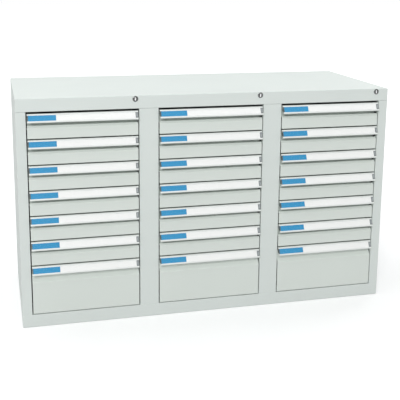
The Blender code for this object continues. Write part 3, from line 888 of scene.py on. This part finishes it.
def front_roller_mesh(edge_x, towards):
    """The nylon roller at the rail's mouth."""
    mouth = edge_x - towards * RUNNER_PLAY
    profile = roller_profile(FRONT_ROLLER_WIDTH, FRONT_HUB_DEPTH, True)
    return turned(profile, (mouth, FRONT_Y + FRONT_ROLLER, RAIL_CENTRE), (towards, 0, 0), ROLLER_NYLON)


def axle_mesh(edge_x, towards):
    """The front roller's axle, riveted into the pocket's wall."""
    at = (edge_x - towards * POCKET, FRONT_Y + FRONT_ROLLER, RAIL_CENTRE)
    profile = pin_profile(0, AXLE_LENGTH, AXLE_RADIUS, AXLE_CHAMFER)
    return turned(profile, at, (towards, 0, 0), RIVET_STEEL, AXLE_SIDES)


def rail_side(name, edge_x, towards):
    """All rails, rollers and axles on one side of a column."""
    makers = (rail_mesh, front_roller_mesh, axle_mesh)
    mesh = joined(*[down_the_rows(maker(edge_x, towards)) for maker in makers])
    set_piece(name, shaded(mesh), "cabinet")


def set_bar_guides(name, edge_x, wall_x):
    """Sets the U-shaped guides of a locking bar, as the CAD holds them."""
    front = FRONT_Y + BAR_SETBACK - SEAT_GAP
    back = FRONT_Y + BAR_SETBACK + BAR_WIDTH + SEAT_GAP
    cheek = edge_x + BAR_SIDE_GAP
    pad = cheek + BAR_SHEET + SEAT_GAP
    overlap = pad + GUIDE_ROUND
    meshes = []
    for share in GUIDE_HEIGHT_SHARES:
        low = OPENING_LOW + share * (OPENING_HIGH - OPENING_LOW)
        high = low + GUIDE_HEIGHT
        corners = (
            ((pad, front - GUIDE_WALL, low), (wall_x, back + GUIDE_WALL, high)),
            ((cheek, front - GUIDE_WALL, low), (overlap, front, high)),
            ((cheek, back, low), (overlap, back + GUIDE_WALL, high)),
        )
        meshes += [block(*pair, GUIDE_ROUND, RUNNER_ZINC) for pair in corners]
    set_piece(f"{name}_bar_guides", shaded(joined(*meshes)), "cabinet")


def make_divider(number):
    """Centre post and partition, with the runner rails of the columns on both sides."""
    middle = (column_x(number) + column_x(number + 1)) / 2
    wall = POST_HALF - POCKET
    back = FRONT_Y + POST_RETURN
    plan = (
        (-wall, BACK_INNER_Y),
        (-wall, back),
        (-POST_HALF, back),
        (-POST_HALF, FRONT_Y),
        (POST_HALF, FRONT_Y),
        (POST_HALF, back),
        (wall, back),
        (wall, BACK_INNER_Y),
    )
    name = f"divider_{number}"
    set_panel(name, "post", upright([(middle + x, y) for x, y in plan], (-1, 0, 0), POST_FOLD))
    rail_side(f"{name}_rails_left", middle - POST_HALF, -1)
    rail_side(f"{name}_rails_right", middle + POST_HALF, 1)
    set_bar_guides(name, middle - POST_HALF, middle - wall)


def make_rack(side, name):
    """Zinc lining inside a side panel that carries the outer rails."""
    edge = side * OUTER_EDGE
    wall = edge + side * POCKET
    foot = side * (HALF_WIDTH - SHEET - SEAT_GAP)
    start = FRONT_Y + POST_RETURN + SEAT_GAP
    plan = ((foot, start), (wall, start), (wall, BACK_INNER_Y), (foot, BACK_INNER_Y))
    mesh = shaded(mesh_of(upright(plan, (0, -1, 0), RACK_FOLD), RUNNER_ZINC))
    set_piece(f"{name}_lining", mesh, "cabinet", replaces=[name])
    rail_side(f"{name}_rails", edge, -side)
    if side > 0:
        set_bar_guides(name, edge, wall)


# Drawers; the datum is the middle of the front's lower edge, on its outer face


def front_tray(height, recess):
    """Front folded back on all four sides; a finger recess behind the handle is open at both ends."""

    def build(bm):
        low, high = (-FRONT_HALF, 0, 0), (FRONT_HALF, FRONT_FOLD, height - FRONT_TOP_DROP)
        bmesh.ops.create_cube(bm, size=1, matrix=box_matrix(low, high))
        bm.normal_update()
        back = max(bm.faces, key=lambda face: face.normal.y)
        bmesh.ops.delete(bm, geom=[back], context="FACES")
        upper, lower = height - recess[0][1], height - recess[-1][1]
        for z in (upper, lower):
            everything = bm.verts[:] + bm.edges[:] + bm.faces[:]
            bmesh.ops.bisect_plane(bm, geom=everything, plane_co=(0, 0, z), plane_no=(0, 0, 1))
        between = [face for face in bm.faces if lower < face.calc_center_median().z < upper]
        bmesh.ops.delete(bm, geom=between, context="FACES")
        kept, rows = bm.verts[:], []
        for depth, drop in recess:
            places = [Vector((x, depth, height - drop)) for x in (-FRONT_HALF, FRONT_HALF)]
            row = []
            for place in places:
                at_rim = [vert for vert in kept if (vert.co - place).length < SEAT_GAP]
                row.append(at_rim[0] if at_rim else bm.verts.new(place))
            rows.append(row)
        for above, below in zip(rows, rows[1:]):
            bm.faces.new((above[0], below[0], below[1], above[1]))
        bm.normal_update()

    return thickened(round_edges(shape_from(build), FRONT_EDGE, 3, 20))


def box_tray(height, start):
    """Drawer box with a lip round its top and slots for partitions in its walls."""
    top = height - BOX_TOP_DROP
    corner = (BOX_HALF, BOX_LENGTH, top)
    shape = pan((-BOX_HALF, start, BOX_RISE), corner, (0, 0, 1), BOX_LIP, BOX_FOLD)
    low, high = BOX_RISE + RAIL_RISE + ROLLER_RADIUS + SLOT_MARGIN, top - SLOT_MARGIN
    first = (0, SIDE_SLOTS_START, (low + high) / 2)
    size = (2 * BOX_HALF + CUT_OVERRUN, SLOT_WIDTH, high - low)
    slotted(shape, DRAWER_PAINT, SIDE_SLOTS, first, (0, SLOT_STEP, 0), size)
    low = BOX_RISE + SLOT_MARGIN
    first = ((1 - BACK_SLOTS) / 2 * SLOT_STEP, BOX_LENGTH, (low + high) / 2)
    size = (SLOT_WIDTH, CUT_OVERRUN, high - low)
    return slotted(shape, DRAWER_PAINT, BACK_SLOTS, first, (SLOT_STEP, 0, 0), size)


def runner_meshes():
    """Runner leaf, flange, rear roller and rivets on both sides of a drawer box, and the catch."""
    centre = BOX_RISE + RAIL_RISE
    flange = centre + ROLLER_RADIUS + SEAT_GAP + SHEET
    start, length = RUNNER_START, BOX_LENGTH - SHEET - RUNNER_START
    roller_from = OPENING_HALF + REAR_ROLLER_INSET
    roller_to = OPENING_HALF + POCKET - REAR_ROLLER_WALL_GAP
    roller = roller_profile(roller_to - roller_from, REAR_HUB_DEPTH, False)
    neck = roller_to - BOX_HALF - 2 * AXLE_CHAMFER
    axle = ((0, 0), (0, AXLE_RADIUS), (neck, AXLE_RADIUS), (neck + AXLE_CHAMFER, 0))
    meshes = []
    for side in (-1, 1):
        leaf = side * (BOX_HALF + SHEET)
        edge = side * (OPENING_HALF - RUNNER_PLAY)
        path = [(leaf, start, centre - ROLLER_RADIUS), (leaf, start, flange), (edge, start, flange)]
        shape = folded(path, (0, length, 0), (-side, 0, 0), RUNNER_FOLD)
        meshes.append(mesh_of(shape, RUNNER_ZINC))
        at = (side * roller_from, REAR_ROLLER, centre)
        meshes.append(turned(roller, at, (side, 0, 0), ROLLER_NYLON))
        at = (side * BOX_HALF, REAR_ROLLER, centre)
        meshes.append(turned(axle, at, (side, 0, 0), RIVET_STEEL, AXLE_SIDES))
        first, last = ((leaf, y, centre - RUNNER_RIVET_DROP) for y in RUNNER_RIVET_ENDS)
        meshes.append(rivet_row(first, last, RUNNER_RIVETS, (side, 0, 0), RUNNER_RIVET_SIZE))
    low, high = CATCH_START, centre + CATCH_RISE
    catch_low = (BOX_HALF - CATCH_SINK, low, high)
    catch_high = (OPENING_HALF - CATCH_SIDE_GAP, low + CATCH_SIZE, high + CATCH_SIZE)
    meshes.append(block(catch_low, catch_high, CATCH_ROUND, BAR_ZINC))
    return meshes


def make_drawers():
    types = {}
    for row, recess in ((1, RECESS), (DEEP_ROW, DEEP_ROW_RECESS)):
        height = front_height(row)
        start = max(depth for depth, _ in recess) + SHEET + SEAT_GAP
        neck_low = (-BOX_HALF, SHEET + SEAT_GAP, BOX_RISE)
        neck_high = (BOX_HALF, start + SHEET, height - recess[-1][1] - 2 * SHEET)
        parts = [
            front_tray(height, recess),
            box_tray(height, start),
            pan(neck_low, neck_high, (0, 0, 1), 0, BOX_FOLD),
        ]
        types[row] = shaded(joined(*[mesh_of(part, DRAWER_PAINT) for part in parts]))
    runners = shaded(joined(*runner_meshes()))
    for column in COLUMNS:
        for row in ROWS:
            name = f"drawer_{column}_{row}"
            at = (column_x(column), FRONT_Y, front_low(row))
            shell = types[DEEP_ROW if row == DEEP_ROW else 1]
            set_piece(f"{name}_shell", shell, name, at, [name])
            set_piece(f"{name}_runners", runners, name, at)


# Handles; the datum is the middle of the front's upper edge, on its outer face

SLANT = Vector((HANDLE_TOP_REACH - HANDLE_REACH, HANDLE_LIP - HANDLE_HEIGHT))
ALONG = SLANT.normalized()
OUTWARD = Vector((ALONG.y, -ALONG.x))


def on_slant(along, out=0.0):
    """(y, z) of a point of the slanted label face: how far down it, and how far out of it."""
    return Vector((-HANDLE_TOP_REACH, 0)) + ALONG * along + OUTWARD * out


def handle_profile():
    """Cross-section of the pull, with the channel that holds the label."""
    foot = -SEAT_GAP
    inner = foot - HANDLE_WALL
    slope = SLANT.x / SLANT.y
    tip = HANDLE_HEIGHT - HANDLE_LIP
    corners = [
        (foot, 0, 0),
        (-HANDLE_TOP_REACH, 0, HANDLE_TOP_ROUND),
        (*on_slant(LABEL_FROM), LABEL_LIP_ROUND),
        (*on_slant(LABEL_FROM - LABEL_UNDERCUT, -LABEL_DEPTH), 0),
        (*on_slant(LABEL_TO + LABEL_UNDERCUT, -LABEL_DEPTH), 0),
        (*on_slant(LABEL_TO), LABEL_LIP_ROUND),
        (-HANDLE_REACH, -tip, HANDLE_NOSE_ROUND),
        (-HANDLE_REACH, -HANDLE_HEIGHT, HANDLE_TIP_ROUND),
        (-HANDLE_REACH + HANDLE_WALL, -HANDLE_HEIGHT, HANDLE_TIP_ROUND),
        (-HANDLE_REACH + HANDLE_WALL, -tip, HANDLE_INNER_ROUND),
        (inner - slope * HANDLE_WALL, -HANDLE_WALL - HANDLE_FOOT / 2, HANDLE_INNER_ROUND),
        (inner, -HANDLE_FOOT, 0),
        (foot, -HANDLE_FOOT, 0),
    ]
    return filleted(corners)


def plug_outline():
    """Cross-section of an end plug; the pull's upper and lower lips stay clear of it."""
    corners = [
        (-SEAT_GAP, on_slant(LABEL_FROM)[1], PLUG_BACK_ROUND),
        (*on_slant(LABEL_FROM, -PLUG_PROUD), PLUG_FRONT_ROUND),
        (*on_slant(LABEL_TO, -PLUG_PROUD), PLUG_FRONT_ROUND),
        (-SEAT_GAP, on_slant(LABEL_TO)[1], PLUG_BACK_ROUND),
    ]
    return filleted(corners)


def slab(low_x, high_x, along, out, radius, finish):
    """A flat piece in the label channel: its span along X, down the slant and out of it."""
    (upper, lower), (floor, face) = along, out
    corners = ((upper, floor), (upper, face), (lower, face), (lower, floor))
    return mesh_of(extruded([on_slant(*corner) for corner in corners], low_x, high_x, radius), finish)


def make_handles():
    left, right = HANDLE_ENDS[0] - FRONT_HALF, FRONT_HALF - HANDLE_ENDS[1]
    pull = joined(
        mesh_of(extruded(handle_profile(), left, right), HANDLE_WHITE),
        mesh_of(extruded(plug_outline(), left - PLUG_PROUD, left + HANDLE_PLUG), PLUG_GREY),
        mesh_of(extruded(plug_outline(), right - HANDLE_PLUG, right + PLUG_PROUD), PLUG_GREY),
    )
    pull = shaded(pull)
    floor = -LABEL_DEPTH
    catch_x = right - CATCH_WIDTH
    tag_x = -FRONT_HALF + TAG_FROM_EDGE
    tag_end = tag_x + TAG_LENGTH
    inner = left + LABEL_END_GAP
    inside = (LABEL_FROM + LABEL_PLAY, LABEL_TO - LABEL_PLAY)
    card, tag = (floor, floor + CARD), (floor, floor + TAG_CARD)
    pad_x, pad_end = catch_x + PAD_FROM_CATCH_ENDS[0], catch_x + CATCH_WIDTH - PAD_FROM_CATCH_ENDS[1]
    label = joined(
        slab(inner, tag_x, inside, card, 0, PAPER_WHITE),
        slab(tag_x, tag_end, inside, tag, THIN_ROUND, TAG_BLUE),
        slab(tag_end, catch_x, inside, card, 0, PAPER_WHITE),
        slab(catch_x, catch_x + CATCH_WIDTH, inside, (floor, CATCH_PROUD), CATCH_EDGE, CATCH_GREY),
        slab(pad_x, pad_end, PAD_ALONG, (0.0, PAD_PROUD), PAD_EDGE, CATCH_PAD_GREY),
    )
    label = shaded(label)
    cover_out = (floor + COVER_RISE, floor + COVER_RISE + COVER_SHEET)
    cover = shaded(slab(inner, catch_x, (LABEL_FROM, LABEL_TO), cover_out, THIN_ROUND, COVER_CLEAR))
    for column in COLUMNS:
        for row in ROWS:
            name, body = f"handle_{column}_{row}", f"drawer_{column}_{row}"
            at = (column_x(column), FRONT_Y, front_low(row) + front_height(row) - FRONT_TOP_DROP)
            set_piece(f"{name}_pull", pull, body, at, [name])
            set_piece(f"{name}_label", label, body, at)
            set_piece(f"{name}_cover", cover, body, at)


# Locks; the datum is the lock's axis at the front of the cabinet


def housing_mesh():
    """Domed flange before the sheet, threaded body through it and the nut behind it, round a bore."""
    face = -SEAT_GAP - FLANGE_THICKNESS
    rim = -SEAT_GAP - FLANGE_RIM
    dome = []
    for angle in DOME_ANGLES:
        sunk, rise = 1 - math.cos(math.radians(angle)), math.sin(math.radians(angle))
        dome.append((rim - (FLANGE_THICKNESS - FLANGE_RIM) * rise, FLANGE_RADIUS - DOME_WIDTH * sunk))
    nut_from = SHEET + SEAT_GAP
    nut_to = nut_from + LOCK_NUT
    profile = (
        (-SEAT_GAP, FLANGE_RADIUS - FLANGE_CHAMFER),
        *dome,
        (face, LOCK_BORE + LOCK_BORE_CHAMFER),
        (face + LOCK_BORE_CHAMFER, LOCK_BORE),
        (0.0, LOCK_BORE),
        (LOCK_BODY_LENGTH, LOCK_BORE),
        (LOCK_BODY_LENGTH, LOCK_BODY_RADIUS),
        (nut_to, LOCK_BODY_RADIUS),
        (nut_to, LOCK_NUT_RADIUS),
        (nut_from, LOCK_NUT_RADIUS),
        (nut_from, LOCK_BODY_RADIUS),
        (-SEAT_GAP, LOCK_BODY_RADIUS),
    )
    return turned(profile, (0, 0, 0), (0, 1, 0), LOCK_RING_PAINTED_DARK, FINE_SIDES, hollow=True)


def barrel_mesh():
    """Turning core with the raised rim of its key slot, the cam and the cam pin."""
    face = -SEAT_GAP - FLANGE_THICKNESS + BARREL_RECESS
    core = (
        (face, 0),
        (face, BARREL_RADIUS - BARREL_CHAMFER),
        (face + BARREL_CHAMFER, BARREL_RADIUS),
        (CAM_START, BARREL_RADIUS),
        (CAM_START, 0),
    )
    barrel = on_bench(turned(core, (0, 0, 0), (0, 1, 0), LOCK_FACE, FINE_SIDES))
    key = (KEYWAY_WIDTH, 2 * KEYWAY_DEPTH, KEYWAY_HEIGHT)
    slotted(barrel, LOCK_FACE, 1, (0, face, 0), (0, 0, 0), key)
    rim_low = (-KEY_RIM_HALF_WIDTH, face - KEY_RIM_PROUD, -KEY_RIM_HALF_HEIGHT)
    rim_high = (KEY_RIM_HALF_WIDTH, face + KEY_RIM_SINK, KEY_RIM_HALF_HEIGHT)
    rim = round_edges(plain_box(rim_low, rim_high), KEY_RIM_ROUND, 2)
    slotted(rim, LOCK_SLOT, 1, (0, face, 0), (0, 0, 0), key)
    cam_back = CAM_START + CAM_SHEET
    cam_tip = (CAM_REACH + CAM_END, cam_back, CAM_HALF)
    cam = block((-CAM_HALF, CAM_START, -CAM_HALF), cam_tip, CAM_ROUND, BAR_ZINC)
    end = cam_back + CAM_PIN - CAM_PIN_GAP
    pin = pin_profile(CAM_START, end, CAM_PIN_RADIUS, CAM_PIN_CHAMFER)
    pin = turned(pin, (CAM_REACH, 0, 0), (0, 1, 0), BAR_ZINC, AXLE_SIDES)
    return joined(mesh_of(barrel), mesh_of(rim), cam, pin)


def make_locks():
    housing = shaded(housing_mesh())
    barrel = shaded(barrel_mesh())
    for column in COLUMNS:
        at = lock_place(column)
        name = f"lock_housing_{column}"
        set_piece(f"{name}_ring", housing, "cabinet", at, [name])
        name = f"lock_barrel_{column}"
        set_piece(f"{name}_core", barrel, name, at, [name])
        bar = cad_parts[f"lock_bar_{column}"]
        for place in bar.material_slots:
            place.material = BAR_ZINC


# Studio


def seen_rays(tree):
    """1 for what the camera sees, in gloss and through glass too."""
    path = add_node(tree, "ShaderNodeLightPath").outputs
    seen = path["Is Camera Ray"]
    for other in ("Is Glossy Ray", "Is Transmission Ray"):
        seen = add_node(tree, "ShaderNodeMath", {0: seen, 1: path[other]}, operation="MAXIMUM")
    return seen


def make_floor():
    """A plain floor, white as seen and grey in the light that it throws back on the cabinet.

    The lamps reach less of it far out, so a faint glow that grows with distance keeps it white there.
    """
    low, high = (-FLOOR_HALF, -FLOOR_HALF, -FLOOR_SHEET), (FLOOR_HALF, FLOOR_HALF, -FLOOR_DROP)
    shape = plain_box(low, high)
    plain = {"Roughness": 0.9, "IOR": 1.3, "Specular_IOR_Level": 0.1, "Emission_Color": (1, 1, 1, 1)}
    material, tree, shader = new_finish("studio_floor", **plain)
    shown = tones(tree, grain(tree, 0.8, 2), (0.3, (0.98, 0.98, 0.98, 1)), (0.7, (1, 1, 1, 1)))
    seen = seen_rays(tree)
    tree.links.new(mixed(tree, seen, FLOOR_BOUNCE, shown), shader.inputs["Base Color"])
    place = add_node(tree, "ShaderNodeTexCoord").outputs["Object"]
    away = add_node(tree, "ShaderNodeVectorMath", {0: place}, operation="LENGTH").outputs["Value"]
    glow = spread(tree, away, GLOW_FROM, GLOW_TO, GLOW_NEAR, GLOW_FAR)
    glow = add_node(tree, "ShaderNodeMath", {0: glow, 1: seen}, operation="MULTIPLY")
    tree.links.new(glow.outputs[0], shader.inputs["Emission Strength"])
    shape.data.materials.append(material)
    shape.name = "studio_floor"


def make_world():
    """Even studio light; what the camera, gloss and glass see of it is white."""
    world = bpy.data.worlds.new("studio")
    world.use_nodes = True
    tree = world.node_tree
    tree.nodes.clear()
    light = add_node(tree, "ShaderNodeBackground", {"Color": (0.98, 0.99, 1, 1), "Strength": 0.6})
    shown = add_node(tree, "ShaderNodeBackground", {"Color": (1, 1, 1, 1), "Strength": 1.0})
    both = add_node(tree, "ShaderNodeMixShader", {0: seen_rays(tree), 1: light, 2: shown})
    add_node(tree, "ShaderNodeOutputWorld", {"Surface": both})
    bpy.context.scene.world = world


def make_lamp(name, towards, disc_angle, strength, distance):
    """A wide, soft disc of light aimed at the cabinet's middle; strength is what arrives there, in W/m2."""
    towards = Vector(towards).normalized()
    lamp = bpy.data.lights.new(name, "AREA")
    lamp.shape = "DISK"
    lamp.size = 2 * distance * math.tan(math.radians(disc_angle / 2))
    lamp.energy = strength * math.pi * distance**2
    holder = bpy.data.objects.new(name, lamp)
    holder.location = Vector((0, 0, OPENING_HIGH / 2)) - towards * distance
    holder.rotation_euler = towards.to_track_quat("-Z", "Y").to_euler()
    holder.visible_camera = False
    bpy.context.scene.collection.objects.link(holder)


def make_camera():
    """The photograph's view: long lens, front left, above the top, with a little shift down."""
    azimuth, elevation, roll = map(math.radians, (CAMERA_AZIMUTH, CAMERA_ELEVATION, CAMERA_ROLL))
    ahead = math.cos(elevation)
    forward = Vector((math.sin(azimuth) * ahead, math.cos(azimuth) * ahead, math.sin(elevation)))
    level = forward.cross(Vector((0, 0, 1))).normalized()
    upright = level.cross(forward)
    right = math.cos(roll) * level + math.sin(roll) * upright
    up = right.cross(forward)
    camera = bpy.data.objects.new("camera", bpy.data.cameras.new("camera"))
    turn = Matrix((right, up, -forward)).transposed().to_4x4()
    camera.matrix_world = Matrix.Translation(CAMERA_PLACE) @ turn
    camera.data.sensor_width = CAMERA_SENSOR_MM
    camera.data.lens = CAMERA_LENS_MM
    camera.data.shift_y = CAMERA_SHIFT
    bpy.context.scene.collection.objects.link(camera)
    bpy.context.scene.camera = camera


make_camera()
make_world()
make_floor()
make_lamp("key_lamp", towards=(0.32, 0.84, -0.44), disc_angle=16, strength=1.3, distance=10)
make_lamp("top_lamp", towards=(0.28, -0.12, -1.0), disc_angle=60, strength=0.88, distance=5)
make_lamp("fill_lamp", towards=(-0.7, -0.6, -0.2), disc_angle=40, strength=0.75, distance=14)
bpy.context.scene.view_settings.view_transform = "Standard"

make_top_cover()
make_base_pan()
make_side(-1, "side_left")
make_side(1, "side_right")
make_back()
for number in (1, 2):
    make_divider(number)
make_rack(-1, "runner_rack_left")
make_rack(1, "runner_rack_right")
make_drawers()
make_handles()
make_locks()
